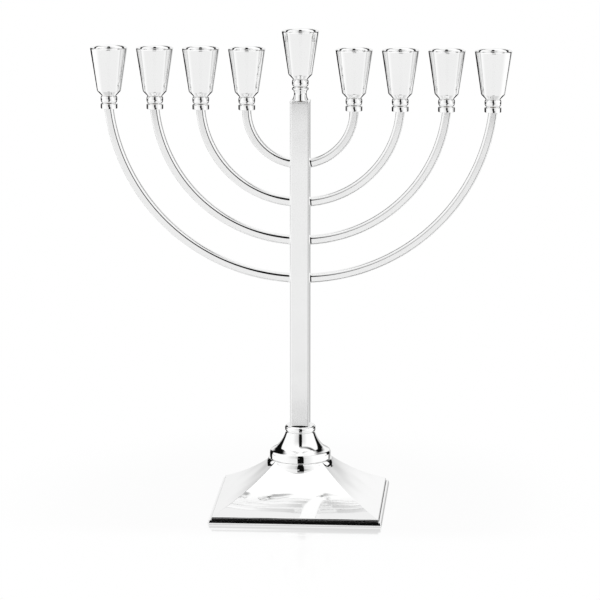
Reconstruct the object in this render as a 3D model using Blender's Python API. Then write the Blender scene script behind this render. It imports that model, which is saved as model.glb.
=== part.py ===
"""Nine-light menorah in polished silver plate, as separate pieces.

Metres, +Z up, front towards -Y. The origin is the centre of the foot's underside, on the table.
Four pairs of square-bar arms leave a square stem as circular arcs. Each arm's end carries a ferrule,
a loose bead ring and a tapered candle cup, which unscrews on a threaded stud. The centre cup stands
on a spool on top of the stem. A tie rod and nut pull the stem, bell and ring down onto the base.
"""

import math

import bmesh
import bpy
from mathutils import Vector

MM = 0.001

# Driving dimensions
TOTAL_HEIGHT = 350.0 * MM
BASE_SIDE = 125.0 * MM
STEM_SIDE = 14.0 * MM
ARM_SIDE = 6.2 * MM
ARM_PAIRS = 4
FIRST_CUP_X = 38.6 * MM  # from the stem's axis to the innermost branch cup
CUP_SPACING = 33.2 * MM
TOP_ARM_LOW_Z = 253.5 * MM  # lowest point of the smallest arc's centre line
ARM_DROP = 28.0 * MM  # each wider arc hangs this much lower than the last
CUP_TO_CENTRE_DROP = 13.2 * MM  # branch rims below the centre cup's rim
CUP_HEIGHT = 40.2 * MM  # from the groove under the bead ring to the rim
CUP_RIM_R = 13.4 * MM
CANDLE_R = 11.0 * MM  # mouth of the cup, for a 22 mm candle
GAP = 0.3 * MM  # between neighbouring pieces

# Heights of the stack, from the table up
PLINTH_TOP = 3.5 * MM
SHELL_FOOT = PLINTH_TOP + GAP
WEIGHT_BOTTOM = 7.9 * MM
RING_BOTTOM = 27.0 * MM
RING_TOP = 35.6 * MM
BELL_BOTTOM = RING_TOP + 0.4 * MM
BELL_TOP = 55.4 * MM
SOCKET_TOP = 60.3 * MM
STEM_BOTTOM = 56.0 * MM
STEM_TOP = 298.2 * MM
CAP_TOP = 299.6 * MM
CENTRE_GROOVE = TOTAL_HEIGHT - CUP_HEIGHT
BRANCH_GROOVE = CENTRE_GROOVE - CUP_TO_CENTRE_DROP
FERRULE_HEIGHT = 4.1 * MM
BEAD_TOP = 5.2 * MM  # above the groove
CUP_FLOOR = 12.0 * MM  # above the groove, where a candle stands
ARM_TOP = BRANCH_GROOVE - FERRULE_HEIGHT - GAP

# Threads are drawn as plain rods at their nominal size, in holes with a small clearance
STUD_R = 1.5 * MM
STUD_HOLE_R = 1.8 * MM
STUD_TOP = 10.1 * MM  # above the groove, inside the cup's floor
BRANCH_STUD_REACH = 9.0 * MM  # below the groove, into the arm
CENTRE_STUD_REACH = 16.5 * MM  # below the groove, through spool and cap into the bush
ROD_R = 3.0 * MM
ROD_HOLE_R = 3.4 * MM
ROD_TOP = 78.0 * MM

STEM_WALL = 1.2 * MM
STEM_CORNER_R = 1.4 * MM
ARM_CORNER_R = 1.1 * MM
CAP_HALF = STEM_SIDE / 2 + 0.2 * MM
BELL_FOOT_R = 22.25 * MM
BASE_RING_R = 24.2 * MM  # at its bulge
SHELL_WALL = 1.3 * MM
BASE_TOP_HALF = 17.0 * MM
BASE_FOOT_HALF = BASE_SIDE / 2 - 2.3 * MM
BASE_HOLLOW = 2.5 * MM  # how far each base face sags below a straight slope
SLOPE_FOOT = SHELL_FOOT + 1.6 * MM
SLOPE_TOP = RING_TOP + 0.6 * MM
PLINTH_OPENING = 54.0 * MM  # half the width of the hole in the plinth frame
PLINTH_BOTTOM = 0.4 * MM

CUP_SEGMENTS = 24
BEAD_SEGMENTS = 16
STUD_SEGMENTS = 12
BELL_SEGMENTS = 32


def clear_scene():
    for obj in list(bpy.data.objects):
        bpy.data.objects.remove(obj, do_unlink=True)


def make_material(name, colour, roughness, metallic):
    material = bpy.data.materials.new(name)
    material.use_nodes = True
    shader = material.node_tree.nodes["Principled BSDF"]
    shader.inputs["Base Color"].default_value = (*colour, 1.0)
    shader.inputs["Roughness"].default_value = roughness
    shader.inputs["Metallic"].default_value = metallic
    material.diffuse_color = (*colour, 1.0)
    return material


def silver(name, roughness=0.06):
    return make_material(name, (0.93, 0.93, 0.94), roughness, 1.0)


def ring_of(radius, z, count):
    """A circle of points, starting at +X."""
    step = 2 * math.pi / count
    return [Vector((radius * math.cos(i * step), radius * math.sin(i * step), z)) for i in range(count)]


def square_of(half, z, corner_r, per_corner):
    """A square of points with rounded corners, the corner arcs centred on the diagonals."""
    points = []
    for corner in range(4):
        middle = math.pi / 4 + corner * math.pi / 2
        centre = Vector((math.copysign(half - corner_r, math.cos(middle)),
                         math.copysign(half - corner_r, math.sin(middle)), z))
        for i in range(per_corner):
            share = i / (per_corner - 1) - 0.5 if per_corner > 1 else 0.0
            angle = middle + share * math.pi / 2
            points.append(centre + corner_r * Vector((math.cos(angle), math.sin(angle), 0)))
    return points


def hexagon_of(half_across_flats, z):
    """A hexagon of twelve points: its corners and the middles of its sides."""
    points = []
    for i in range(12):
        angle = i * math.pi / 6
        radius = half_across_flats / (math.cos(math.pi / 6) if i % 2 == 0 else 1.0)
        points.append(Vector((radius * math.cos(angle), radius * math.sin(angle), z)))
    return points


def loft(name, rings, material, closed=False, at=(0, 0, 0)):
    """An object skinned over rings of points. closed joins the last ring to the first, as in a tube."""
    bm = bmesh.new()
    loops = [[bm.verts.new(point) for point in ring] for ring in rings]
    pairs = list(zip(loops, loops[1:]))
    if closed:
        pairs.append((loops[-1], loops[0]))
    else:
        bm.faces.new(loops[0])
        bm.faces.new(loops[-1])
    for lower, upper in pairs:
        for i in range(len(lower)):
            j = (i + 1) % len(lower)
            bm.faces.new((lower[i], lower[j], upper[j], upper[i]))
    bmesh.ops.recalc_face_normals(bm, faces=bm.faces)
    mesh = bpy.data.meshes.new(name)
    bm.to_mesh(mesh)
    bm.free()
    mesh.materials.append(material)
    mesh.shade_smooth()
    mesh.set_sharp_from_angle(angle=math.radians(40))
    obj = bpy.data.objects.new(name, mesh)
    obj.location = at
    bpy.context.collection.objects.link(obj)
    return obj


def lathe(name, profile_mm, segments, material, hollow=False, at=(0, 0, 0)):
    """A turned piece from (radius, height) pairs. hollow closes the profile on itself around a hole."""
    rings = [ring_of(r * MM, z * MM, segments) for r, z in profile_mm]
    return loft(name, rings, material, closed=hollow, at=at)


def arc_profile(start, end, bulge, steps):
    """Points from start to end on a circular arc that stands bulge to the right of the way."""
    a, b = Vector(start), Vector(end)
    half = (b - a).length / 2
    middle = (a + b) / 2
    out = Vector(((b - a).y, -(b - a).x)).normalized()
    radius = (half * half + bulge * bulge) / (2 * bulge)
    centre = middle + out * (bulge - radius)
    sweep = 2 * math.asin(half / radius)
    points = []
    for i in range(steps + 1):
        turn = sweep * (i / steps - 0.5)
        points.append(centre + radius * (out * math.cos(turn) + (b - a).normalized() * math.sin(turn)))
    return [(p.x, p.y) for p in points]


def cut(obj, cutter):
    """Takes the cutter out of the object, and keeps the cutter as a hidden helper."""
    cutter.hide_render = True
    cutter.display_type = "WIRE"
    modifier = obj.modifiers.new("cut_" + cutter.name, "BOOLEAN")
    modifier.operation = "DIFFERENCE"
    modifier.solver = "EXACT"
    modifier.object = cutter


def cup_bowl(side, at, material):
    """Tapered beaker with a rounded lip, a candle hole that tapers with it, and a stud hole below."""
    hole = STUD_HOLE_R / MM
    rim, rim_r, mouth = CUP_HEIGHT / MM, CUP_RIM_R / MM, CANDLE_R / MM
    neck, floor = (BEAD_TOP + GAP) / MM, CUP_FLOOR / MM
    shoulder = arc_profile((5.75, neck + 0.2), (8.5, neck + 3.3), -0.2, 2)
    outside = [(5.4, neck), *shoulder, (rim_r - 0.05, rim - 1.0), (rim_r - 0.35, rim - 0.15), (rim_r - 0.9, rim)]
    inside = [(mouth + 0.3, rim), (mouth, rim - 0.4), (8.0, floor + 1.2), (6.8, floor)]
    outer = [ring_of(r * MM, z * MM, CUP_SEGMENTS) for r, z in outside + inside]
    bowl = loft("cup_bowl_" + side, outer, material, at=at)
    drill_top = (STUD_TOP + GAP) / MM
    drill = lathe("cup_drill_" + side, [(hole, neck - 2.0), (hole, drill_top)], STUD_SEGMENTS, material, at=at)
    cut(bowl, drill)


def cup_stud(side, at, reach, material):
    low, top, r = -reach / MM, STUD_TOP / MM, STUD_R / MM
    profile = [(r - 0.5, low), (r, low + 0.5), (r, top)]
    lathe("cup_stud_" + side, profile, STUD_SEGMENTS, material, at=at)


def bead_ring(side, at, material):
    """Barrel-shaped ring, loose on the stud between the cup and the groove."""
    hole = STUD_HOLE_R / MM + 0.1
    low, top = GAP / MM, BEAD_TOP / MM
    barrel = arc_profile((5.7, low + 0.45), (5.6, top - 0.3), 0.45, 3)
    profile = [(hole, low), (5.2, low), *barrel, (5.35, top), (hole, top)]
    lathe("bead_ring_" + side, profile, BEAD_SEGMENTS, material, hollow=True, at=at)


def arm_ferrule(side, at, material):
    """Plain band on the arm's end, with a chamfer that makes the lower half of the groove."""
    hole, low = STUD_HOLE_R / MM + 0.1, -FERRULE_HEIGHT / MM
    profile = [(hole, low), (5.9, low), (6.1, low + 0.3), (6.1, -0.8), (5.3, -0.15), (hole, -0.15)]
    lathe("arm_ferrule_" + side, profile, BEAD_SEGMENTS, material, hollow=True, at=at)


def stem_spool(at, material):
    """Waisted spool with a bead at its top, between the stem's cap and the centre cup's bead ring."""
    hole = STUD_HOLE_R / MM + 0.1
    low = (CAP_TOP + GAP - CENTRE_GROOVE) / MM
    waist = arc_profile((5.75, low + 0.4), (5.1, -3.0), -0.72, 5)
    bead = arc_profile((5.35, -2.75), (5.45, -0.45), 0.7, 3)
    profile = [(hole, low), (5.65, low), *waist, *bead, (5.2, -0.15), (hole, -0.15)]
    lathe("stem_spool", profile, CUP_SEGMENTS, material, hollow=True, at=at)


def arm(side, direction, cup_x, low_z, material):
    """Square bar bent to an arc from inside the stem's wall to a level end under the ferrule."""
    rise = ARM_TOP - low_z
    radius = (cup_x * cup_x + rise * rise) / (2 * rise)
    start_x = STEM_SIDE / 2 - 2 * STEM_WALL
    first = math.asin(start_x / radius)
    last = math.atan2(cup_x, radius - rise)
    steps = 8 + round(radius / (9 * MM))
    outline = square_of(ARM_SIDE / 2, 0, ARM_CORNER_R, 3)
    rings = []
    for i in range(steps + 1):
        angle = first + (last - first) * i / steps
        outwards = Vector((math.sin(angle), 0, -math.cos(angle)))
        along = Vector((math.cos(angle), 0, math.sin(angle)))
        centre = Vector((0, 0, low_z + radius)) + radius * outwards
        ring = []
        for p in outline:
            point = centre + p.x * outwards + Vector((0, p.y, 0))
            if i == steps:
                point += along * (ARM_TOP - point.z) / along.z
            ring.append(Vector((point.x * direction, point.y, point.z)))
        rings.append(ring)
    bar = loft("arm_" + side, rings, material)
    hole_depth = BRANCH_STUD_REACH + GAP - (BRANCH_GROOVE - ARM_TOP)
    drill_rings = [ring_of(STUD_HOLE_R, -hole_depth, STUD_SEGMENTS), ring_of(STUD_HOLE_R, 2 * MM, STUD_SEGMENTS)]
    cut(bar, loft("arm_drill_" + side, drill_rings, material, at=(direction * cup_x, 0, ARM_TOP)))


def tube_rings(outer_half, inner_half, low, high, outer_r, inner_r, per_corner):
    return [square_of(outer_half, low, outer_r, per_corner),
            square_of(outer_half, high, outer_r, per_corner),
            square_of(inner_half, high, inner_r, per_corner),
            square_of(inner_half, low, inner_r, per_corner)]


def stem(material):
    """Square tube with a pair of square holes for each pair of arms."""
    half = STEM_SIDE / 2
    rings = tube_rings(half, half - STEM_WALL, STEM_BOTTOM, STEM_TOP, STEM_CORNER_R, 0.4 * MM, 3)
    tube = loft("stem_tube", rings, material, closed=True)
    hole_half = ARM_SIDE / 2 + 0.55 * MM
    for pair in range(ARM_PAIRS):
        middle = TOP_ARM_LOW_Z - pair * ARM_DROP + 0.3 * MM
        ends = []
        for x in (-STEM_SIDE, STEM_SIDE):
            ends.append([Vector((x, p.x, middle + p.y)) for p in square_of(hole_half, 0, 0.5 * MM, 2)])
        cut(tube, loft("stem_slot_%d" % (pair + 1), ends, material))


def stem_cap_plate(material):
    half, low = CAP_HALF, STEM_TOP + GAP
    rings = [square_of(half - 0.2 * MM, low, 1.3 * MM, 3),
             square_of(half, low + 0.25 * MM, STEM_CORNER_R, 3),
             square_of(half, CAP_TOP - 0.35 * MM, STEM_CORNER_R, 3),
             square_of(half - 0.35 * MM, CAP_TOP, 1.2 * MM, 3),
             ring_of(STUD_HOLE_R + 0.1 * MM, CAP_TOP, 12),
             ring_of(STUD_HOLE_R + 0.1 * MM, low, 12)]
    loft("stem_cap_plate", rings, material, closed=True)


def square_block(name, half, low, high, hole_r, material):
    """Square plug with a round hole through it."""
    rings = [square_of(half, low, 0.6 * MM, 3), square_of(half, high, 0.6 * MM, 3),
             ring_of(hole_r, high, 12), ring_of(hole_r, low, 12)]
    loft(name, rings, material, closed=True)


def stem_socket_ring(material):
    """Round bead ring with a square hole that the stem stands in."""
    count = 32
    hole_half = STEM_SIDE / 2 + GAP
    low, high = BELL_TOP + GAP, SOCKET_TOP
    outline = [(10.35, low / MM), *arc_profile((10.5, low / MM + 0.25), (10.9, high / MM - 0.2), 0.55, 4)]
    outside = [ring_of(r * MM, z * MM, count) for r, z in outline + [(10.6, high / MM)]]
    inside = [square_of(hole_half, z, 1.3 * MM, count // 4) for z in (high, low)]
    loft("stem_socket_ring", outside + inside, material, closed=True)


def bell_collar(material):
    """Spun bell: a foot band, a round shoulder, a flank up to the neck, and a deck the stem stands on."""
    low, top, foot_r = BELL_BOTTOM / MM, BELL_TOP / MM, BELL_FOOT_R / MM
    foot = [(foot_r - 0.2, low), (foot_r, low + 0.3), (foot_r, low + 4.1)]
    shoulder = arc_profile((foot_r - 0.15, low + 4.8), (foot_r - 2.8, low + 6.8), 0.35, 3)
    flank = arc_profile((foot_r - 5.0, low + 8.3), (10.7, top - 0.5), -0.75, 5)
    deck_low, hole = top - 1.3, ROD_HOLE_R / MM
    inner_flank = arc_profile((9.2, deck_low), (foot_r - 2.9, low + 4.9), 1.2, 4)
    inside = [(10.4, top), (hole, top), (hole, deck_low), *inner_flank, (foot_r - 1.3, low + 3.9), (foot_r - 1.3, low)]
    lathe("bell_collar", foot + shoulder + flank + inside, BELL_SEGMENTS, material, hollow=True)


def base_ring(material):
    """Bulged ring let into the top of the base."""
    low, high, r = RING_BOTTOM / MM, RING_TOP / MM, BASE_RING_R / MM
    bulge = arc_profile((r - 1.3, low + 0.4), (r - 0.8, high - 0.5), 1.05, 6)
    profile = [(r - 1.9, low), *bulge, (r - 1.3, high), (14.0, high), (14.0, low)]
    lathe("base_ring", profile, BELL_SEGMENTS, material, hollow=True)


def base_shell(material):
    """Hollow square base with concave faces, open below, with a round hole for the base ring on top."""
    foot, top = BASE_FOOT_HALF / MM, BASE_TOP_HALF / MM
    slope_foot, slope_top = SLOPE_FOOT / MM, SLOPE_TOP / MM
    wall = SHELL_WALL / MM
    outer = arc_profile((foot, slope_foot), (top, slope_top), -BASE_HOLLOW / MM, 9)
    inner = arc_profile((foot - 2.6, slope_foot - 0.6), (top - wall, slope_top - 2.2), -BASE_HOLLOW / MM, 7)
    outline = [(foot, SHELL_FOOT / MM), *outer]
    hollow = [*reversed(inner), (foot - 2.6, SHELL_FOOT / MM)]
    rings = [square_of(half * MM, z * MM, 0.15 * MM, 2) for half, z in outline + hollow]
    shell = loft("base_shell", rings, material, closed=True)
    hole_r = BASE_RING_R + GAP
    cutter = [ring_of(hole_r, 15 * MM, 48), ring_of(hole_r, 45 * MM, 48)]
    cut(shell, loft("base_hole_cutter", cutter, material))


def plinth_frame(material):
    """Thin square frame under the shell, with a softly rounded outer edge."""
    half = BASE_SIDE / 2
    outline = [(half - 0.2 * MM, PLINTH_BOTTOM), (half, 0.7 * MM), (half, 2.3 * MM), (half - 0.3 * MM, 3.0 * MM),
               (half - 0.9 * MM, 3.4 * MM), (half - 1.5 * MM, PLINTH_TOP)]
    rings = [square_of(r, z, 0.9 * MM, 3) for r, z in outline]
    rings += [square_of(PLINTH_OPENING, z, 0.9 * MM, 3) for z in (PLINTH_TOP, PLINTH_BOTTOM)]
    loft("plinth_frame", rings, material, closed=True)


def underside(cover_material, felt_material):
    """Felt pad that the object rests on, and the cover plate above it, open round the nut."""
    half = PLINTH_OPENING - GAP
    rings = [square_of(half, z, 0.8 * MM, 3) for z in (0.0, 1.2 * MM)]
    loft("felt_pad", rings, felt_material)
    square_plate = [square_of(half, z, 0.8 * MM, 3) for z in (1.5 * MM, 2.7 * MM)]
    opening = [ring_of(8.5 * MM, z, 12) for z in (2.7 * MM, 1.5 * MM)]
    loft("bottom_cover", square_plate + opening, cover_material, closed=True)


def base_weight(material):
    """Cast block that fills the shell under the ring."""
    rings = [square_of(44 * MM, WEIGHT_BOTTOM, 3 * MM, 3),
             square_of(22 * MM, RING_BOTTOM - GAP, 2 * MM, 3),
             ring_of(ROD_HOLE_R, RING_BOTTOM - GAP, 12),
             ring_of(ROD_HOLE_R, WEIGHT_BOTTOM, 12)]
    loft("base_weight", rings, material, closed=True)


def tie_hardware(material):
    """Tie rod from the stem's foot down through the weight, with its washer and hexagon nut."""
    low, top, r, hole = 1.7, ROD_TOP / MM, ROD_R / MM, ROD_HOLE_R / MM
    rod = [(r - 0.7, low), (r, low + 0.7), (r, top - 0.7), (r - 0.7, top)]
    lathe("tie_rod", rod, 16, material)
    washer = [(hole, 6.4), (8.0, 6.4), (8.0, 7.6), (hole, 7.6)]
    lathe("tie_washer", washer, 24, material, hollow=True)
    nut_low, nut_high = 1.6 * MM, 6.1 * MM
    rings = [hexagon_of(5.0 * MM, nut_low), hexagon_of(5.0 * MM, nut_high),
             ring_of(ROD_HOLE_R, nut_high, 12), ring_of(ROD_HOLE_R, nut_low, 12)]
    loft("tie_nut", rings, material, closed=True)


def cup_set(side, x, groove, reach, looks):
    """One candle cup with the pieces that unscrew with it, their origins on the stud's axis."""
    at = (x, 0, groove)
    cup_bowl(side, at, looks["cup"])
    cup_stud(side, at, reach, looks["stud"])
    bead_ring(side, at, looks["bead"])


def build():
    clear_scene()
    looks = {
        "cup": silver("cup_silver", 0.05),
        "bead": silver("bead_silver", 0.05),
        "ferrule": silver("ferrule_silver", 0.05),
        "arm": silver("arm_silver", 0.08),
        "stem": silver("stem_silver", 0.07),
        "base": silver("base_silver", 0.06),
        "stud": make_material("brass_thread", (0.80, 0.62, 0.33), 0.30, 1.0),
        "plug": make_material("plain_brass", (0.78, 0.60, 0.32), 0.35, 1.0),
        "steel": make_material("zinc_steel", (0.62, 0.63, 0.65), 0.38, 1.0),
        "iron": make_material("cast_weight", (0.10, 0.10, 0.11), 0.75, 0.6),
        "felt": make_material("dark_felt", (0.025, 0.045, 0.10), 0.95, 0.0),
    }
    for direction, word in ((-1, "left"), (1, "right")):
        for pair in range(ARM_PAIRS):
            side = "%s_%d" % (word, pair + 1)
            cup_x = FIRST_CUP_X + pair * CUP_SPACING
            cup_set(side, direction * cup_x, BRANCH_GROOVE, BRANCH_STUD_REACH, looks)
            arm_ferrule(side, (direction * cup_x, 0, BRANCH_GROOVE), looks["ferrule"])
            arm(side, direction, cup_x, TOP_ARM_LOW_Z - pair * ARM_DROP, looks["arm"])
    cup_set("centre", 0, CENTRE_GROOVE, CENTRE_STUD_REACH, looks)
    stem_spool((0, 0, CENTRE_GROOVE), looks["bead"])
    stem(looks["stem"])
    stem_cap_plate(looks["stem"])
    plug_half = STEM_SIDE / 2 - STEM_WALL - GAP
    square_block("stem_top_bush", plug_half, STEM_TOP - 14 * MM, STEM_TOP - GAP, STUD_HOLE_R, looks["plug"])
    square_block("stem_foot_plug", plug_half, STEM_BOTTOM + GAP, ROD_TOP + 2 * MM, ROD_HOLE_R, looks["plug"])
    stem_socket_ring(looks["base"])
    bell_collar(looks["base"])
    base_ring(looks["base"])
    base_shell(looks["base"])
    plinth_frame(looks["base"])
    underside(looks["steel"], looks["felt"])
    base_weight(looks["iron"])
    tie_hardware(looks["steel"])


build()
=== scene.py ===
"""Looks of the nine-light menorah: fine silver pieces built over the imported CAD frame.

Lengths inside the piece builders are millimetres. skin() turns them into metres.
"""

import math

import bpy
import numpy as np
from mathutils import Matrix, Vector


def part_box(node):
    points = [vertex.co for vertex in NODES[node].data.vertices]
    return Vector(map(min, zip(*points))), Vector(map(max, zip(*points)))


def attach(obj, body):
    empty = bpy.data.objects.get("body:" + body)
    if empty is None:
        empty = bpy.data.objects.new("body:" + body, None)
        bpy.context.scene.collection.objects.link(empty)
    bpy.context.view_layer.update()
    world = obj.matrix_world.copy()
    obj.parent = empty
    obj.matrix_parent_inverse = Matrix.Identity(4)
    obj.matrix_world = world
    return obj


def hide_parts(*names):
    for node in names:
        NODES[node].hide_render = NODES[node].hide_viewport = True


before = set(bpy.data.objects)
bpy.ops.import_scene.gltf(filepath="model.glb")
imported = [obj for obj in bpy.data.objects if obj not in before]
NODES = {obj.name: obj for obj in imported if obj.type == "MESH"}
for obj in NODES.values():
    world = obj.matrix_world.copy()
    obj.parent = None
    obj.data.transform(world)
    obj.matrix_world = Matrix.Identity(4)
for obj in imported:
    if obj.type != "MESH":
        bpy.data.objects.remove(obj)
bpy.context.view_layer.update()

MM = 0.001
AROUND = 144  # facets around a turned piece
BASE_AROUND = 192  # facets around the larger turned pieces of the base
SUPPORT = 0.12  # distance of the loops that keep a flat stretch flat beside a fillet
LAP = 0.28  # how far a piece reaches down over the thin gap that the CAD leaves under it
GROOVE_UP = 0.3  # from the middle of the groove under a cup up to the CAD's bead ring
SIDES = ["%s_%d" % (word, i) for word in ("left", "right") for i in (1, 2, 3, 4)] + ["centre"]


# ---------------------------------------------------------------- measures taken from the frame

def box_mm(node):
    low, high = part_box(node)
    return np.array(low) / MM, np.array(high) / MM


def cup_place(side):
    """(x of the cup's axis, height of the groove under its bead ring), both in millimetres."""
    low, high = box_mm("bead_ring_" + side)
    return (low[0] + high[0]) / 2, low[2] - GROOVE_UP


STEM_LOW, STEM_HIGH = box_mm("stem_tube")
STEM_HALF = STEM_HIGH[0]
ARM_HALF = box_mm("arm_left_1")[1][1]
ARM_OUTER_CORNER, ARM_INNER_CORNER = 0.8, 2.0  # bending leaves the edges inside the arc softer
SHELL_LOW, SHELL_HIGH = box_mm("base_shell")
RING_LOW, RING_HIGH = box_mm("base_ring")
BELL_LOW, BELL_HIGH = box_mm("bell_collar")
SOCKET_LOW, SOCKET_HIGH = box_mm("stem_socket_ring")
CAP_LOW, CAP_HIGH = box_mm("stem_cap_plate")
CUP_RIM_R = (box_mm("cup_bowl_centre")[1][0] - box_mm("cup_bowl_centre")[0][0]) / 2
CUP_TALL = box_mm("cup_bowl_centre")[1][2] - cup_place("centre")[1]
CUP_FLOOR = 12.0  # above the groove, where a candle stands
LIP_WIDE = 2.35  # from the mouth to the rim's outside
AXIS_R = 0.02  # the smallest radius of a closed turned outline
TAPPED_R, HOLE_R = 1.65, 1.95  # hole in a cup for its stud's thread, and clear holes in the rings
GROOVE_HALF = 0.13
SOCKET_SPANS = 10  # points along each side of the socket's square, and a quarter of its round outside
SEAM_WIDE = 0.4  # strip of the ledge along the shell's foot, painted near-black as painted shade and dark reflection of the seam


# ---------------------------------------------------------------- outlines

def rounded(corners, closed=False, degrees=9.0):
    """An outline through (r, z, fillet) corners, each fillet an arc, with a support point beside it."""
    points = []
    count = len(corners)
    for i, (r, z, fillet) in enumerate(corners):
        here = np.array((r, z), float)
        at_end = not closed and i in (0, count - 1)
        if fillet <= 0 or at_end:
            points.append(here)
            continue
        before = np.array(corners[i - 1][:2], float) - here
        after = np.array(corners[(i + 1) % count][:2], float) - here
        room = min(np.linalg.norm(before), np.linalg.norm(after)) * 0.49
        before /= np.linalg.norm(before)
        after /= np.linalg.norm(after)
        half = math.acos(max(-1.0, min(1.0, float(before @ after)))) / 2
        turn = math.pi - 2 * half
        if turn < math.radians(2):
            points.append(here)
            continue
        back = fillet / math.tan(half)
        if back > room:
            back = room
            fillet = back * math.tan(half)
        middle = here + (before + after) / np.linalg.norm(before + after) * (fillet / math.sin(half))
        start = here + before * back - middle
        end = here + after * back - middle
        steps = max(2, int(math.degrees(turn) / degrees))
        spare = min(SUPPORT, (room - back) * 0.6 + 0.01)
        points.append(here + before * (back + spare))
        for s in range(steps + 1):
            share = s / steps
            a = math.sin((1 - share) * turn) / math.sin(turn)
            b = math.sin(share * turn) / math.sin(turn)
            points.append(middle + a * start + b * end)
        points.append(here + after * (back + spare))
    return points


def bow(start, end, bulge, steps):
    """Corners along a circular arc from start to end that stands bulge to the right of the way."""
    a, b = np.array(start, float), np.array(end, float)
    chord = b - a
    half = np.linalg.norm(chord) / 2
    along = chord / (2 * half)
    out = np.array((along[1], -along[0]))
    radius = (half * half + bulge * bulge) / (2 * bulge)
    centre = (a + b) / 2 + out * (bulge - radius)
    sweep = 2 * math.asin(half / radius)
    turns = [sweep * (i / steps - 0.5) for i in range(steps + 1)]
    points = [centre + radius * (out * math.cos(t) + along * math.sin(t)) for t in turns]
    return [(p[0], p[1], 0) for p in points]


def barrel(start, end, bulge, steps, fullness=3.0):
    """Corners from start up to end of a flank that stays nearly upright and rounds off towards its ends."""
    a, b = np.array(start, float), np.array(end, float)
    points = []
    for i in range(steps + 1):
        share = (1 - math.cos(math.pi * i / steps)) / 2
        swell = bulge * (1 - abs(2 * share - 1) ** fullness)
        points.append((a[0] + (b[0] - a[0]) * share + swell, a[1] + (b[1] - a[1]) * share, 0))
    return points


def circle(radius, z, count=AROUND, centre=(0.0, 0.0)):
    angles = np.arange(count) * (2 * math.pi / count)
    return np.stack([centre[0] + radius * np.cos(angles), centre[1] + radius * np.sin(angles),
                     np.full(count, float(z))], 1)


def square(half, z, corner_r, arc_steps=6, spans=1, left_r=None):
    """A square with rounded corners, the two on the left of radius left_r if it is given.

    Support points sit beside each arc, and spans split each side.
    """
    points = []
    radii = (corner_r, left_r or corner_r, left_r or corner_r, corner_r)
    spare = min(SUPPORT, (half - corner_r) * 0.2)
    for corner, corner_r in enumerate(radii):
        inner = half - corner_r
        start = corner * math.pi / 2
        middle = start + math.pi / 4
        cx, cy = math.copysign(inner, math.cos(middle)), math.copysign(inner, math.sin(middle))
        enter = np.array((math.sin(start), -math.cos(start)))
        arc = [(cx + corner_r * math.cos(start + math.pi / 2 * s / arc_steps),
                cy + corner_r * math.sin(start + math.pi / 2 * s / arc_steps)) for s in range(arc_steps + 1)]
        leave = np.array((-math.cos(start), -math.sin(start)))
        points.append(tuple(np.array(arc[0]) + spare * enter))
        points.extend(arc)
        first_out = np.array(arc[-1]) + spare * leave
        points.append(tuple(first_out))
        run = 2 * half - corner_r - radii[(corner + 1) % 4] - 2 * spare
        for s in range(1, spans):
            points.append(tuple(first_out + leave * run * s / spans))
    return np.array([(x, y, z) for x, y in points], float)


# ---------------------------------------------------------------- meshes

def skin(name, rings, looks, body, nodes, closed=False, points_at_ends=False, sharp=35.0):
    """A piece skinned over rings of points in millimetres, riding on a body in place of CAD nodes."""
    rings = [np.asarray(ring, float) for ring in rings]
    around, count = len(rings[0]), len(rings)
    vertices = np.concatenate(rings) * MM
    i = np.arange(around)
    j = (i + 1) % around
    lower = np.arange(count if closed else count - 1)[:, None] * around
    upper = (lower + around) % (count * around)
    quads = np.stack([lower + i, lower + j, upper + j, upper + i], 2).reshape(-1, 4)
    last = (count - 1) * around
    ends = []
    if not closed and points_at_ends:
        vertices = np.vstack([vertices, rings[0].mean(0) * MM, rings[-1].mean(0) * MM])
        tip = len(vertices) - 2
        ends = [(a, b, tip) for a, b in zip(j, i)] + [(last + a, last + b, tip + 1) for a, b in zip(i, j)]
    elif not closed:
        ends = [tuple(i[::-1]), tuple(last + i)]
    faces = quads.tolist() + [[int(k) for k in face] for face in ends]
    if turned_inside_out(vertices, quads, ends):
        faces = [face[::-1] for face in faces]
    mesh = bpy.data.meshes.new(name)
    mesh.from_pydata(vertices.tolist(), [], faces)
    mesh.shade_smooth()
    mesh.set_sharp_from_angle(angle=math.radians(sharp))
    mesh.materials.append(looks)
    piece = bpy.data.objects.new(name, mesh)
    bpy.context.collection.objects.link(piece)
    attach(piece, body)
    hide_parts(*nodes)
    return piece


def turned_inside_out(vertices, quads, ends):
    """Whether the faces enclose a negative volume, so that they all need flipping."""
    a, b, c, d = (vertices[quads[:, k]] for k in range(4))
    volume = np.einsum("ij,ij->", a, np.cross(b, c)) + np.einsum("ij,ij->", a, np.cross(c, d))
    for face in ends:
        corners = vertices[list(face)]
        fan = np.cross(corners[1:-1], corners[2:])
        volume += np.einsum("ij,ij->", np.broadcast_to(corners[0], fan.shape), fan)
    return volume < 0


def turned(name, outline, looks, body, nodes, at=(0.0, 0.0), closed=False, count=AROUND, sharp=35.0):
    """A lathe-turned piece around a vertical axis at (x, lift)."""
    x, lift = at
    rings = [circle(p[0], p[1] + lift, count, (x, 0.0)) for p in outline]
    return skin(name, rings, looks, body, nodes, closed=closed, points_at_ends=not closed, sharp=sharp)


# ---------------------------------------------------------------- materials

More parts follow.
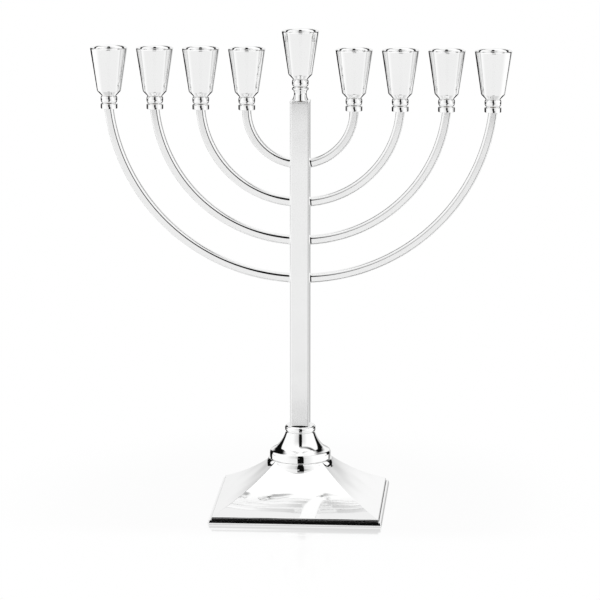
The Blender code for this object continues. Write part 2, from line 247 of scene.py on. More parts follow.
class Nodes:
    """Short calls for building a node tree."""

    def __init__(self, tree):
        self.tree = tree

    def add(self, kind, **inputs):
        node = self.tree.nodes.new(kind)
        for key, value in inputs.items():
            self.put(node, key.replace("_", " "), value)
        return node

    def put(self, node, key, value):
        socket = node.inputs[int(key)] if str(key).isdigit() else node.inputs[key]
        if isinstance(value, bpy.types.NodeSocket):
            self.tree.links.new(value, socket)
        else:
            socket.default_value = value

    def math(self, operation, a, b=0.0, c=0.0, clamp=False):
        node = self.tree.nodes.new("ShaderNodeMath")
        node.operation = operation
        node.use_clamp = clamp
        for i, value in enumerate((a, b, c)):
            self.put(node, i, value)
        return node.outputs[0]

    def ramp(self, value, low, high, to_low=0.0, to_high=1.0):
        node = self.add("ShaderNodeMapRange")
        node.interpolation_type = "SMOOTHSTEP"
        for i, v in enumerate((value, low, high, to_low, to_high)):
            self.put(node, i, v)
        return node.outputs[0]

    def mix(self, share, a, b):
        node = self.tree.nodes.new("ShaderNodeMix")
        node.data_type = "RGBA"
        self.put(node, 0, share)
        self.put(node, 6, a)
        self.put(node, 7, b)
        return node.outputs[2]

    def choose(self, share, a, b):
        """The number a where share is 0, b where it is 1."""
        node = self.tree.nodes.new("ShaderNodeMix")
        node.data_type = "FLOAT"
        self.put(node, 0, share)
        self.put(node, 2, a)
        self.put(node, 3, b)
        return node.outputs[0]

    def band(self, value, enter, inside, leave, outside):
        """1 between inside and leave, falling to 0 at enter and outside."""
        falling = self.ramp(value, leave, outside, 1.0, 0.0)
        return self.math("MULTIPLY", self.ramp(value, enter, inside), falling)

    def noise(self, place, scale, detail=2.0, roughness=0.5):
        node = self.add("ShaderNodeTexNoise", Vector=place, Scale=scale, Detail=detail, Roughness=roughness)
        return node.outputs["Fac"]

    def place(self):
        return self.add("ShaderNodeTexCoord").outputs["Object"]

    def bump(self, shader, height, strength, distance):
        node = self.add("ShaderNodeBump", Height=height, Strength=strength, Distance=distance)
        self.put(shader, "Normal", node.outputs[0])

    def scaled(self, vector, x, y, z):
        node = self.tree.nodes.new("ShaderNodeVectorMath")
        node.operation = "MULTIPLY"
        self.put(node, 0, vector)
        node.inputs[1].default_value = (x, y, z)
        return node.outputs[0]


def new_material(name):
    material = bpy.data.materials.new(name)
    material.use_nodes = True
    shader = material.node_tree.nodes["Principled BSDF"]
    return material, Nodes(material.node_tree), shader


SILVER = (0.955, 0.956, 0.955, 1.0)
SILVER_WORN = (0.925, 0.926, 0.924, 1.0)
BRASS, BRASS_DULL = (0.80, 0.62, 0.33, 1.0), (0.58, 0.42, 0.20, 1.0)
ZINC, ZINC_GREY = (0.60, 0.61, 0.63, 1.0), (0.47, 0.49, 0.52, 1.0)
IRON, RUST = (0.09, 0.09, 0.095, 1.0), (0.17, 0.085, 0.045, 1.0)
FELT_DARK, FELT_LIGHT = (0.012, 0.022, 0.055, 1.0), (0.035, 0.060, 0.135, 1.0)
# near-black colours of the painted shade on the plinth's ledge along the shell's foot
SEAM_SHADE_DARK, SEAM_SHADE_LIGHT = (0.02, 0.02, 0.022, 1.0), (0.07, 0.065, 0.06, 1.0)


def silver(name, gloss=0.035, scratches=0.5, wobble=0.35, grain=(1.0, 1.0, 1.0), waves=30.0):
    """Mirror-polished silver plate: faint cloudy wear, hairline polishing marks and a hand-made wobble.

    gloss is the roughness of clean silver, grain stretches the hairlines, and waves is the wobble's scale.
    """
    material, n, shader = new_material(name)
    place = n.place()
    tone = n.ramp(n.noise(place, scale=45.0, detail=3.0), 0.35, 0.7)
    fine = n.noise(place, scale=900.0, detail=2.0)
    hairs_place = n.scaled(place, *(g * 1000 for g in grain))
    hairs = n.noise(hairs_place, scale=3.2, detail=3.0, roughness=0.7)
    marks = n.ramp(hairs, 0.62, 0.74)
    n.put(shader, "Base Color", n.mix(n.math("MULTIPLY", tone, 0.35), SILVER, SILVER_WORN))
    rough = n.math("ADD", gloss, n.math("MULTIPLY", tone, 0.012))
    rough = n.math("ADD", rough, n.math("MULTIPLY", marks, 0.05 * scratches))
    rough = n.math("ADD", rough, n.math("MULTIPLY", fine, 0.01))
    n.put(shader, "Roughness", rough)
    shader.inputs["Metallic"].default_value = 1.0
    swell = n.noise(place, scale=waves, detail=1.0)
    height = n.math("ADD", n.math("MULTIPLY", swell, wobble), n.math("MULTIPLY", marks, -0.004 * scratches))
    n.bump(shader, height, strength=1.0, distance=0.1 * MM)
    return material


def tarnish(name):
    """Near-black silver as painted shade: a dark strip that stands in for the shade and dark reflections in a
    seam.
    """
    material, n, shader = new_material(name)
    cloud = n.noise(n.place(), scale=400.0, detail=3.0)
    n.put(shader, "Base Color", n.mix(cloud, SEAM_SHADE_DARK, SEAM_SHADE_LIGHT))
    n.put(shader, "Roughness", n.math("ADD", 0.35, n.math("MULTIPLY", cloud, 0.2)))
    shader.inputs["Metallic"].default_value = 0.8
    return material


def thread_brass(name):
    """Turned brass with fine rings from the lathe."""
    material, n, shader = new_material(name)
    place = n.place()
    cloud = n.noise(place, scale=300.0, detail=3.0)
    n.put(shader, "Base Color", n.mix(n.ramp(cloud, 0.35, 0.65), BRASS, BRASS_DULL))
    n.put(shader, "Roughness", n.math("ADD", 0.24, n.math("MULTIPLY", cloud, 0.16)))
    shader.inputs["Metallic"].default_value = 1.0
    rings = n.noise(n.scaled(place, 200, 200, 9000), scale=1.0, detail=2.0)
    n.bump(shader, rings, strength=0.25, distance=0.04 * MM)
    return material


def zinc_steel(name):
    """Zinc-plated steel with a faint spangle."""
    material, n, shader = new_material(name)
    place = n.place()
    cell = n.add("ShaderNodeTexVoronoi", Vector=place, Scale=420.0).outputs["Color"]
    cloud = n.noise(place, scale=120.0, detail=4.0)
    base = n.mix(n.ramp(cloud, 0.3, 0.7), ZINC, ZINC_GREY)
    n.put(shader, "Base Color", n.mix(0.08, base, cell))
    n.put(shader, "Roughness", n.math("ADD", 0.30, n.math("MULTIPLY", cloud, 0.2)))
    shader.inputs["Metallic"].default_value = 1.0
    return material


def cast_iron(name):
    """Rough sand-cast iron with a little rust."""
    material, n, shader = new_material(name)
    place = n.place()
    sand = n.noise(place, scale=1400.0, detail=4.0, roughness=0.65)
    rust = n.ramp(n.noise(place, scale=90.0, detail=3.0), 0.55, 0.75)
    n.put(shader, "Base Color", n.mix(n.math("MULTIPLY", rust, 0.5), IRON, RUST))
    n.put(shader, "Roughness", n.math("ADD", 0.62, n.math("MULTIPLY", sand, 0.25)))
    shader.inputs["Metallic"].default_value = 0.55
    n.bump(shader, sand, strength=0.6, distance=0.3 * MM)
    return material


def felt(name):
    """Dark blue felt with fibres and tufts."""
    material, n, shader = new_material(name)
    place = n.place()
    fibre = n.noise(place, scale=2600.0, detail=5.0, roughness=0.75)
    tuft = n.noise(place, scale=260.0, detail=3.0)
    n.put(shader, "Base Color", n.mix(fibre, FELT_DARK, FELT_LIGHT))
    n.put(shader, "Roughness", n.math("ADD", 0.85, n.math("MULTIPLY", tuft, 0.12)))
    shader.inputs["Sheen Weight"].default_value = 0.5
    n.bump(shader, n.math("ADD", fibre, n.math("MULTIPLY", tuft, 0.8)), strength=0.8, distance=0.3 * MM)
    return material


# ---------------------------------------------------------------- cups and their rings

def cup(side, looks, inside):
    """Tapered beaker: flared wall, soft rolled lip, tapered candle hole, rounded shoulder and short neck."""
    x, groove = cup_place(side)
    rim, rim_r = CUP_TALL, CUP_RIM_R
    mouth = rim_r - LIP_WIDE
    neck = box_mm("cup_bowl_" + side)[0][2] - groove
    floor_r, shoulder_r, neck_r, hole_top = 6.9, 8.6, 5.6, 10.4
    lip = bow((mouth - 0.4, rim - 2.3), (mouth + 1.5, rim - 0.02), bulge=-0.55, steps=10)
    bore = rounded([(AXIS_R, CUP_FLOOR, 0), (floor_r, CUP_FLOOR, 1.6), (mouth - 0.42, rim - 2.32, 0)])
    body = rounded([(mouth + 1.52, rim, 0), (rim_r - 0.5, rim, 0.3), (rim_r, rim - 0.5, 0.4),
                    (shoulder_r, neck + 3.2, 1.1), (neck_r + 0.4, neck + 0.45, 0.8), (neck_r, neck, 0.2),
                    (TAPPED_R, neck, 0.2), (TAPPED_R, hole_top, 0.1), (AXIS_R, hole_top, 0)])
    outline = bore + [np.array(p[:2]) for p in lip] + body
    piece = turned("silver_cup_" + side, outline, looks, "cup_" + side, ["cup_bowl_" + side], at=(x, groove))
    give_rows(piece, inside, 0, len(bore), AROUND)
    return piece


def bead(side, looks):
    """Barrel-shaped bead ring under the cup."""
    x, groove = cup_place(side)
    low, top = 0.28, box_mm("bead_ring_" + side)[1][2] - groove
    flank = barrel((5.5, low + 0.17), (5.6, top - 0.25), bulge=0.5, steps=14)
    outline = rounded([(HOLE_R, low, 0.1), (5.15, low, 0.2), *flank, (5.4, top, 0.15), (HOLE_R, top, 0.1)],
                      closed=True)
    return turned("silver_bead_" + side, outline, looks, "bead_" + side, ["bead_ring_" + side],
                  at=(x, groove), closed=True)


def stud(side, looks):
    """Stud with a real helical thread, half a millimetre a turn."""
    x, groove = cup_place(side)
    low, high = box_mm("cup_stud_" + side)
    start, end = low[2] - groove, high[2] - groove
    pitch, depth, crest, around, per_turn = 0.5, 0.3, 1.5, 36, 6
    lead_in, tip = 0.7, 0.72  # the thread starts narrower over its first stretch
    rows = int((end - start) / pitch * per_turn)
    angles = np.arange(around) * (2 * math.pi / around)
    rings = []
    for row in range(rows + 1):
        z = start + (end - start) * row / rows
        phase = (z / pitch - angles / (2 * math.pi)) % 1.0
        groove_depth = depth * np.clip(1.25 - np.abs(phase - 0.5) * 4, 0, 1)
        begun = np.clip((z - start) / lead_in, 0.0, 1.0)
        radius = (crest - groove_depth) * (tip + (1 - tip) * begun)
        height = np.full(around, z + groove)
        rings.append(np.stack([x + radius * np.cos(angles), radius * np.sin(angles), height], 1))
    return skin("thread_stud_" + side, rings, looks, "cup_" + side, ["cup_stud_" + side], sharp=70)


def ferrule(side, looks):
    """Plain band seated on the arm's end, chamfered at the groove."""
    x, groove = cup_place(side)
    low, high = box_mm("arm_ferrule_" + side)
    bottom, r = low[2] - groove, (high[0] - low[0]) / 2
    outline = rounded([(HOLE_R, bottom, 0.1), (r - 0.02, bottom, 0.25), (r, bottom + 2.2, 0.0),
                       (r - 0.03, -0.75, 0.3), (5.2, -GROOVE_HALF, 0.12), (HOLE_R, -GROOVE_HALF, 0.1)],
                      closed=True)
    return turned("silver_ferrule_" + side, outline, looks, "stand", ["arm_ferrule_" + side],
                  at=(x, groove), closed=True)


def spool(looks):
    """Waisted spool and bead on top of the stem's cap."""
    x, groove = cup_place("centre")
    low = box_mm("stem_spool")[0][2] - groove
    waist = bow((5.72, low + 0.6), (5.0, -2.95), bulge=-0.74, steps=16)
    ball = barrel((5.3, -2.75), (5.4, -0.5), bulge=0.68, steps=12)
    outline = rounded([(HOLE_R, low, 0.1), (5.7, low, 0.15), *waist, *ball, (5.15, -GROOVE_HALF, 0.1),
                       (HOLE_R, -GROOVE_HALF, 0.1)], closed=True)
    return turned("silver_spool", outline, looks, "stand", ["stem_spool"], at=(x, groove), closed=True)


# ---------------------------------------------------------------- arms and stem

def arm_arc(side):
    """(cup x without its sign, sign, radius, lowest height of the centre line, level top)."""
    x, _ = cup_place(side)
    low, high = box_mm("arm_" + side)
    reach, sign, top = abs(x), math.copysign(1, x), high[2]
    start_x = min(abs(low[0]), abs(high[0]))
    lowest = low[2] + ARM_HALF
    for _ in range(6):  # the bar's underside is lowest at its inner end, a little beside the middle
        rise = top - lowest
        radius = (reach * reach + rise * rise) / (2 * rise)
        first = math.asin(min(0.9, start_x / radius))
        lowest = low[2] - radius + (radius + ARM_HALF) * math.cos(first)
    return reach, sign, radius, lowest, top


def arm_stops(radius, last, fillet):
    """Angles along an arm's arc: its hidden end, close steps over the fillet, then even steps to its top."""
    fillet_steps, step_long = 6, 1.3
    stops = [math.asin((STEM_HALF - 2.0) / radius)]
    for s in range(fillet_steps + 1):
        stops.append(math.asin((STEM_HALF - 0.02 + fillet * (s / fillet_steps) ** 1.5) / radius))
    begin = stops[-1]
    steps = int((last - begin) * radius / step_long)
    return stops + [begin + (last - begin) * (s + 1) / steps for s in range(steps)]


def arm(side, looks):
    """Square bar bent to an arc, with a small solder fillet where it meets the stem."""
    reach, sign, radius, lowest, top = arm_arc(side)
    fillet = 0.3
    stops = arm_stops(radius, math.atan2(reach, radius - (top - lowest)), fillet)
    outline = square(ARM_HALF, 0, ARM_OUTER_CORNER, arc_steps=8, left_r=ARM_INNER_CORNER)
    rings = []
    for k, angle in enumerate(stops):
        outwards = np.array((math.sin(angle), 0, -math.cos(angle)))
        along = np.array((math.cos(angle), 0, math.sin(angle)))
        middle = np.array((0, 0, lowest + radius)) + radius * outwards
        near = max(0.0, 1 - (radius * math.sin(angle) - STEM_HALF) / fillet)
        near = min(near, 1.0)
        flare = 1 + fillet / ARM_HALF * (1 - math.sqrt(max(0.0, 1 - near * near)))
        ring = middle + flare * (np.outer(outline[:, 0], outwards) + np.outer(outline[:, 1], (0, 1, 0)))
        if k == len(stops) - 1:
            ring = ring + np.outer((top - ring[:, 2]) / along[2], along)
        ring[:, 0] *= sign
        rings.append(ring)
    return skin("silver_arm_" + side, rings, looks, "stand", ["arm_" + side])


def stem(looks):
    """Square tube, drawn with soft edges."""
    low, high = STEM_LOW[2], STEM_HIGH[2]
    wall, arc_steps = 1.2, 9
    heights = [low, low + 0.2, *np.linspace(low + 2, high - 2, 60), high - 0.2, high]
    outer = [square(STEM_HALF, z, 1.0, arc_steps) for z in heights]
    inner = [square(STEM_HALF - wall, z, 0.4, arc_steps) for z in (high, low)]
    return skin("silver_stem", outer + inner, looks, "stand", ["stem_tube"], closed=True)


def cap_plate(looks):
    """Thin square plate with rounded edges on top of the stem."""
    low, high, half = CAP_LOW[2] - LAP, CAP_HIGH[2], CAP_HIGH[0]
    edge = rounded([(half - 0.7, low, 0), (half, low, 0.35), (half, high, 0.4), (half - 0.9, high, 0)])
    rings = [square(p[0], p[1], 1.4 - (half - p[0]) * 0.3, arc_steps=8) for p in edge]
    return skin("silver_cap_plate", rings, looks, "stand", ["stem_cap_plate"])


def socket_ring(looks):
    """Bead ring with a square socket for the stem."""
    low, high = SOCKET_LOW[2] - LAP, SOCKET_HIGH[2]
    r = SOCKET_HIGH[0] - 0.9
    flank = barrel((r - 0.1, low + 0.3), (r + 0.05, high - 0.5), bulge=0.85, steps=16, fullness=4.0)
    outline = rounded([(8.0, low, 0), (r - 0.4, low, 0.1), *flank, (r - 0.15, high - 0.1, 0.3),
                       (r - 0.5, high, 0.2), (r - 0.7, high, 0)])
    angles = square_angles()
    rings = []
    for radius, z in outline:
        rings.append(np.stack([radius * np.cos(angles), radius * np.sin(angles), np.full(len(angles), z)], 1))
    for z in (high, high - 0.3, low):
        rings.append(square(STEM_HALF + 0.02, z, 1.4, spans=SOCKET_SPANS))
    return skin("silver_socket_ring", rings, looks, "stand", ["stem_socket_ring"], closed=True)


def square_angles():
    """Angles of a circle's points that pair with the points of the socket's square()."""
    points = square(5, 0, 1, spans=SOCKET_SPANS)
    return np.unwrap(np.arctan2(points[:, 1], points[:, 0]))


# ---------------------------------------------------------------- base

def bell(looks):
    """Spun bell collar, hollow below: foot band, round shoulder, gently hollow flank and neck."""
    low, high = BELL_LOW[2] - 0.2, BELL_HIGH[2]
    r = BELL_HIGH[0]
    hole_r, sheet = 3.4, 1.5
    flank = bow((r - 4.9, low + 8.4), (10.75, high - 0.8), bulge=-0.8, steps=30)
    inner = bow((9.2, high - 2.0), (r - 3.2, low + 5.0), bulge=1.2, steps=12)
    neck = [(hole_r, high, 0.1), (10.3, high, 0.3)]
    shoulder = [(r - 2.7, low + 7.0, 0.9), (r - 0.7, low + 5.9, 1.2), (r, low + 4.3, 0.6)]
    band = [(r - 0.05, low + 0.45, 0.35), (r - 0.35, low, 0.2), (r - 1.3, low, 0.1),
            (r - 1.3, low + 3.9, 0.4)]
    outline = rounded([*neck, *reversed(flank), *shoulder, *band, *reversed(inner),
                       (hole_r, high - sheet, 0.1)], closed=True, degrees=6)
    return turned("silver_bell", outline, looks, "stand", ["bell_collar"], closed=True, count=BASE_AROUND)


def base_ring(looks):
    """Round ring with a bulging flank, let into the top of the base."""
    low, high = RING_LOW[2], RING_HIGH[2] + 0.15
    r, inner_r = RING_HIGH[0], 14.0
    flank = barrel((r - 1.12, low + 0.5), (r - 1.0, high - 0.45), bulge=1.05, steps=22, fullness=2.6)
    outline = rounded([(inner_r, low, 0.2), (r - 2.2, low, 0.3), *flank, (r - 1.3, high, 0.3),
                       (inner_r, high, 0.2)], closed=True)
    return turned("silver_base_ring", outline, looks, "stand", ["base_ring"], closed=True, count=BASE_AROUND)


def shell_face():
    """Half widths and heights up one face of the base, the same arc as the CAD shell's."""
    slope_foot, slope_top = SHELL_LOW[2] + 1.6, RING_HIGH[2] + 0.6
    return bow((SHELL_HIGH[0], slope_foot), (17.0, slope_top), bulge=-2.5, steps=56)


def base_shell(looks):
    """Hollow base with four concave faces and crisp mitred edges, cut round for the base ring."""
    face, foot, low = shell_face(), SHELL_HIGH[0], SHELL_LOW[2] - LAP
    wall = 1.5
    inner = [(p[0] - wall, p[1] - 1.1) for p in face[::4]]
    edge = rounded([(foot, low + 0.15, 0), (foot, face[0][1], 1.0), (*face[2][:2], 0)])
    outline = [(foot - 0.05, low), *edge] + [(p[0], p[1]) for p in face[3:]]
    outline += [(q[0], q[1]) for q in reversed(inner)] + [(foot - wall, low)]
    rings = [square(half, z, 0.22, arc_steps=3, spans=10) for half, z in outline]
    piece = skin("silver_base_shell", rings, looks, "stand", ["base_shell"], closed=True)
    cutter = cylinder_helper("base_hole_cutter", RING_HIGH[0] - 0.1, 15, 45)
    hole = piece.modifiers.new("ring_hole", "BOOLEAN")
    hole.operation = "DIFFERENCE"
    hole.solver = "EXACT"
    hole.object = cutter
    apply_modifiers(piece)
    bpy.data.objects.remove(cutter, do_unlink=True)
    return piece


def cylinder_helper(name, radius, low, high):
    """A closed cylinder that only serves as a cutter."""
    count = BASE_AROUND
    vertices = np.concatenate([circle(radius, low, count), circle(radius, high, count)]) * MM
    faces = [(i, (i + 1) % count, count + (i + 1) % count, count + i) for i in range(count)]
    faces += [tuple(reversed(range(count))), tuple(range(count, 2 * count))]
    mesh = bpy.data.meshes.new(name)
    mesh.from_pydata(vertices.tolist(), [], faces)
    helper = bpy.data.objects.new(name, mesh)
    bpy.context.collection.objects.link(helper)
    return helper


def apply_modifiers(piece):
    """Bakes the modifiers into the mesh."""
    graph = bpy.context.evaluated_depsgraph_get()
    mesh = bpy.data.meshes.new_from_object(piece.evaluated_get(graph))
    old = piece.data
    piece.modifiers.clear()
    piece.data = mesh
    bpy.data.meshes.remove(old)


def plinth(looks, seam):
    """Thin square frame with a softly rounded edge and a ledge, painted near-black along the shell's foot as
    painted shade and dark reflection.
    """
    low, high = box_mm("plinth_frame")
    bottom, top, half = low[2], high[2], high[0]
    seam_half, opening = SHELL_HIGH[0] + SEAM_WIDE, 54.0
    edge = rounded([(opening, bottom, 0), (half - 0.13, bottom, 0.3), (half, bottom + 1.4, 0.8),
                    (half - 0.6, top, 0.95)])
    edge = [p for p in edge if p[0] > seam_half or p[1] < top - 0.5]
    ledge = [(seam_half, top), (SHELL_HIGH[0] - 0.5, top), (opening, top)]
    rings = [square(p[0], p[1], 0.8, arc_steps=5) for p in (*edge, *ledge)]
    piece = skin("silver_plinth", rings, looks, "stand", ["plinth_frame"], closed=True)
    # the ledge's strip along the shell's foot gets the painted shade
    give_rows(piece, seam, len(edge), 1, len(rings[0]))
    return piece


def give_rows(piece, looks, first, rows, around):
    """Gives some rows of a skinned piece's faces a second material."""
    piece.data.materials.append(looks)
    chosen = np.zeros(len(piece.data.polygons), np.int32)
    chosen[first * around:(first + rows) * around] = 1
    piece.data.polygons.foreach_set("material_index", chosen)


def felt_pad(looks):
    """Felt with a soft cut edge."""
    low, high = box_mm("felt_pad")
    half, bottom, top = high[0], low[2], high[2]
    edge = rounded([(half * 0.6, bottom, 0), (half, bottom, 0.45), (half, top, 0.3), (half * 0.6, top, 0)])
    rings = [square(p[0], p[1], 1.2, arc_steps=5, spans=4) for p in edge]
    return skin("felt_underside", rings, looks, "stand", ["felt_pad"])


# ---------------------------------------------------------------- studio

CAMERA_AZIMUTH, CAMERA_ELEVATION = math.radians(3.89), math.radians(11.26)
CAMERA_DISTANCE = 2.629
CAMERA_AIM = Vector((0, 0, 0.174))
SENSOR, FOCAL_LENGTH = 36.0, 217.56  # in millimetres
SHIFT_RIGHT, SHIFT_UP = -0.0006, -0.047  # of the lens, in widths of the frame

SLIT_SIDE = 12.5  # degrees from the middle of the dark slit to its right side
SLIT_LEFT, SLIT_LEFT_BARS = 10.5, 3.4  # and to its left side, less where the bars' fronts would mirror it
CARD_LEFT, CARD_RIGHT = 126, 117  # where the dark cards on both sides begin, above the height of the beads
CARD_LOW, CARD_HIGH = -42, 60  # lowest and highest elevation of the cards
BLACK = 0.004  # brightness of the dark shapes


def add_camera():
    camera = bpy.data.cameras.new("camera")
    camera.sensor_width = SENSOR
    camera.lens = FOCAL_LENGTH
    camera.shift_x = SHIFT_RIGHT
    camera.shift_y = SHIFT_UP
    camera.clip_start, camera.clip_end = 0.05, 50
    holder = bpy.data.objects.new("camera", camera)
    flat = math.cos(CAMERA_ELEVATION)
    back = Vector((math.sin(CAMERA_AZIMUTH) * flat, -math.cos(CAMERA_AZIMUTH) * flat,
                   math.sin(CAMERA_ELEVATION)))
    holder.location = CAMERA_AIM + back * CAMERA_DISTANCE
    holder.rotation_mode = "QUATERNION"
    holder.rotation_quaternion = (-back).to_track_quat("-Z", "Y")
    bpy.context.collection.objects.link(holder)
    bpy.context.scene.camera = holder


def sky_angles(n):
    """Degrees aside from the camera's azimuth, degrees of elevation, and 1 to the camera's right."""
    direction = n.add("ShaderNodeTexCoord").outputs["Generated"]
    x, y, z = n.add("ShaderNodeSeparateXYZ", Vector=direction).outputs
    degrees = 180 / math.pi
    heading = n.math("ARCTAN2", x, n.math("MULTIPLY", y, -1.0))
    turn = n.math("MULTIPLY", n.math("SUBTRACT", heading, CAMERA_AZIMUTH), degrees)
    rise = n.math("MULTIPLY", n.math("ARCSINE", z), degrees)
    return n.math("ABSOLUTE", turn), rise, n.math("GREATER_THAN", turn, 0.0)


def tent_light(n, aside, rise, to_right):
    """Brightness of the white tent, the table in front of the object and the backdrop behind it."""
    # the two panels beside the camera brighten away from it
    left = n.choose(n.ramp(aside, 26, 60), n.ramp(aside, 8, 26, 0.50, 0.80), 1.04)
    left = n.choose(n.ramp(rise, -8, -5), n.ramp(aside, 10, 60, 0.89, 1.04), left)
    right = n.choose(n.ramp(aside, 26, 56), n.ramp(aside, 8, 26, 0.60, 0.86), 1.06)
    upper = n.choose(n.ramp(rise, 40, 66), n.choose(to_right, left, right), 1.1)
    # the table in front of the object and to its sides, greyer right under it
    table = n.choose(n.ramp(aside, 60, 100), 0.91, 1.08)
    table = n.choose(n.ramp(rise, -70, -40), 0.70, table)
    light = n.choose(n.ramp(rise, -22, -15), table, upper)
    # behind the object the backdrop greys towards its foot
    backdrop = n.choose(to_right, n.ramp(rise, -7, 4, 0.52, 0.92), n.ramp(rise, 1, 10, 0.55, 0.98))
    backdrop = n.choose(n.ramp(rise, 70, 90), backdrop, 1.08)
    return n.choose(n.ramp(aside, 144, 162), light, backdrop)


def dark_slit(n, aside, rise, to_right):
    """The opening the camera looks in by, and its soft right side, which thickens the bars' edge lines."""
    beside_bars = n.band(rise, -14.0, -13.9, -8.5, -8.3)
    slit_left = n.choose(beside_bars, SLIT_LEFT, SLIT_LEFT_BARS)
    past_slit = n.math("SUBTRACT", aside, n.choose(to_right, slit_left, SLIT_SIDE))
    above = n.band(rise, -23.8, -23, 60, 68)
    below = n.band(rise, -48, -42, -28.2, -27.4)
    slit_high = n.math("ADD", above, below, clamp=True)
    slit = n.math("MULTIPLY", n.ramp(past_slit, 0.0, 1.0, 1.0, 0.0), slit_high)
    smear = n.math("MULTIPLY", n.ramp(aside, 12, 38, 0.92, 0.0), beside_bars)
    return n.math("MAXIMUM", slit, n.math("MULTIPLY", smear, to_right))


def dark_cards(n, aside, rise, to_right):
    """The cards on both sides, which draw the dark edges of round pieces.

    They begin nearer the camera where beads and collar mirror them, and further round where cups do.
    """
    beside_cups = n.band(rise, -16.4, -16.2, -14.6, -14.4)
    above_cups = n.ramp(rise, -15.5, -15.4)
    above_beads = n.ramp(rise, -6, -2)
    left_near = n.choose(above_beads, n.choose(above_cups, 121, 107), CARD_LEFT)
    left_near = n.choose(beside_cups, left_near, 133)
    # near the table they also reach further round behind the object
    left_far = n.ramp(rise, -9, -6, 178, 156)
    left_fade = n.math("ADD", left_far, 8.0)
    card_left = n.band(aside, left_near, n.math("ADD", left_near, 5.0), left_far, left_fade)
    right_near = n.choose(above_beads, n.choose(above_cups, 119, 105), CARD_RIGHT)
    right_near = n.choose(beside_cups, right_near, 133)
    right_far = n.ramp(rise, -17, -14.5, 170, 142)
    right_fade = n.math("ADD", right_far, 14.0)
    card_right = n.band(aside, right_near, n.math("ADD", right_near, 6.0), right_far, right_fade)
    cards_high = n.band(rise, CARD_LOW, CARD_LOW + 6, CARD_HIGH - 12, CARD_HIGH)
    return n.math("MULTIPLY", n.choose(to_right, card_left, card_right), cards_high)


def dark_gap(n, aside, rise, to_right):
    """The gap between the right panel and the overhead one, which sags towards the right card."""
    above_sag = n.math("SUBTRACT", rise, n.ramp(aside, 0, 125, 65.0, 55.0))
    gap = n.math("MULTIPLY", n.band(above_sag, -7, -1, 1, 6), n.ramp(aside, 20, 90, 0.6, 0.95))
    return n.math("MULTIPLY", n.math("MULTIPLY", gap, to_right), n.ramp(aside, 118, 135, 1.0, 0.0))


def studio_world():
    """White tent: a dark slit where the camera looks in, dark cards behind the object, a pale table below.

    Everything is set out by azimuth from the camera and by elevation, in degrees.
    """
    world = bpy.data.worlds.new("studio")
    bpy.context.scene.world = world
    world.use_nodes = True
    n = Nodes(world.node_tree)
    background = world.node_tree.nodes["Background"]
    aside, rise, to_right = sky_angles(n)
    dark = dark_slit(n, aside, rise, to_right)
    for shape in (dark_cards, dark_gap):
        dark = n.math("MAXIMUM", dark, shape(n, aside, rise, to_right))
    # seen from one cup by way of its neighbour, dark shapes below the cups are softer
    path = n.add("ShaderNodeLightPath").outputs
    again = n.math("GREATER_THAN", path["Glossy Depth"], 1.5)
    again = n.math("MULTIPLY", again, n.ramp(rise, -8, -3, 1.0, 0.0))
    dark = n.math("MULTIPLY", dark, n.choose(again, 1.0, 0.3))
    tent = n.choose(dark, tent_light(n, aside, rise, to_right), BLACK)
    n.put(background, "Color", (1.0, 1.0, 1.0, 1.0))
    n.put(background, "Strength", n.choose(path["Is Camera Ray"], tent, 1.0))


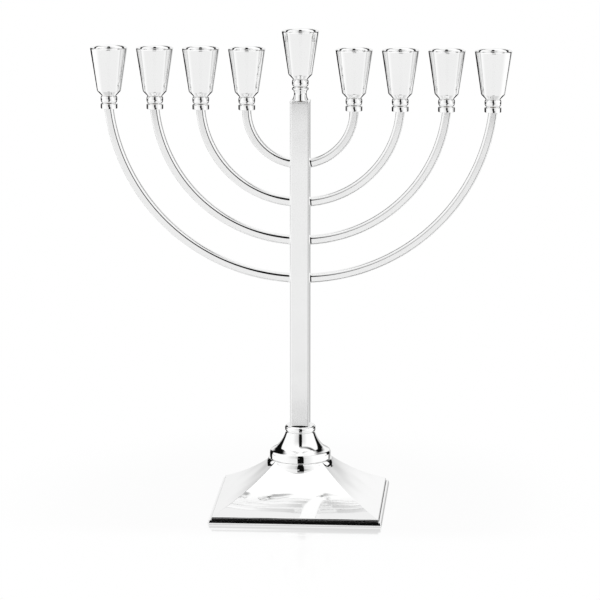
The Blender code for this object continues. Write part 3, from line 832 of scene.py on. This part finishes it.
def floor():
    """White table top, glossy round the object and fading into the white tent further out."""
    table_r, table_z, count = 1600.0, -0.05, 96
    mesh = bpy.data.meshes.new("floor")
    mesh.from_pydata((circle(table_r, table_z, count) * MM).tolist(), [], [tuple(range(count))])
    table = bpy.data.objects.new("floor", mesh)
    bpy.context.collection.objects.link(table)
    table.visible_glossy = False  # polished faces mirror the studio, laid out in the world
    material = bpy.data.materials.new("white_table")
    material.use_nodes = True
    tree = material.node_tree
    tree.nodes.clear()
    n = Nodes(tree)
    place = n.place()
    split = n.add("ShaderNodeSeparateXYZ", Vector=place)
    eye = n.add("ShaderNodeLightPath").outputs["Is Camera Ray"]
    glow = n.add("ShaderNodeEmission", Color=(1, 1, 1, 1), Strength=1.0)
    gloss = n.add("ShaderNodeBsdfGlossy", Color=(1, 1, 1, 1), Roughness=0.10)
    away = n.ramp(split.outputs[1], -0.105, -0.062, 0.03, 0.30)
    reach = n.tree.nodes.new("ShaderNodeVectorMath")
    reach.operation = "LENGTH"
    n.put(reach, 0, place)
    away = n.math("MULTIPLY", away, n.ramp(reach.outputs["Value"], 0.11, 0.26, 1.0, 0.0))
    mixed = n.add("ShaderNodeMixShader")
    n.put(mixed, 0, n.math("MULTIPLY", away, eye))
    n.put(mixed, 1, glow.outputs[0])
    n.put(mixed, 2, gloss.outputs[0])
    output = n.add("ShaderNodeOutputMaterial")
    n.put(output, "Surface", mixed.outputs[0])
    mesh.materials.append(material)


# ---------------------------------------------------------------- build

def build():
    bright = silver("silver_mirror")
    cup_silver = silver("silver_cup", gloss=0.045, scratches=0.2, wobble=0.2, grain=(0.25, 0.25, 3.0))
    bore_silver = silver("silver_bore", gloss=0.12, scratches=1.0, wobble=0.4, grain=(2.0, 2.0, 0.4))
    bar_silver = silver("silver_bar", gloss=0.05, scratches=0.6, wobble=0.2, grain=(1.0, 0.3, 1.0))
    base_silver = silver("silver_base", gloss=0.03, scratches=0.35, wobble=9.0, waves=22.0)
    # painted shade: near-black strip for the plinth's ledge along the shell's foot
    seam_shade_look = tarnish("seam_shade_look")
    brass = thread_brass("brass_thread")
    plug = thread_brass("brass_plug")
    steel = zinc_steel("zinc_steel")
    iron = cast_iron("cast_weight")
    blue_felt = felt("blue_felt")
    for side in SIDES:
        cup(side, cup_silver, bore_silver)
        bead(side, bright)
        stud(side, brass)
        if side != "centre":
            ferrule(side, bright)
            arm(side, bar_silver)
    spool(bright)
    stem(bar_silver)
    cap_plate(bright)
    socket_ring(bright)
    bell(bright)
    base_ring(bright)
    base_shell(base_silver)
    plinth(bright, seam_shade_look)
    felt_pad(blue_felt)
    carried = {"stem_top_bush": plug, "stem_foot_plug": plug, "tie_rod": steel, "tie_washer": steel,
               "tie_nut": steel, "bottom_cover": steel, "base_weight": iron}
    for node, look in carried.items():
        NODES[node].data.materials.clear()
        NODES[node].data.materials.append(look)


build()
floor()
studio_world()
add_camera()
bpy.context.scene.view_settings.view_transform = "Standard"
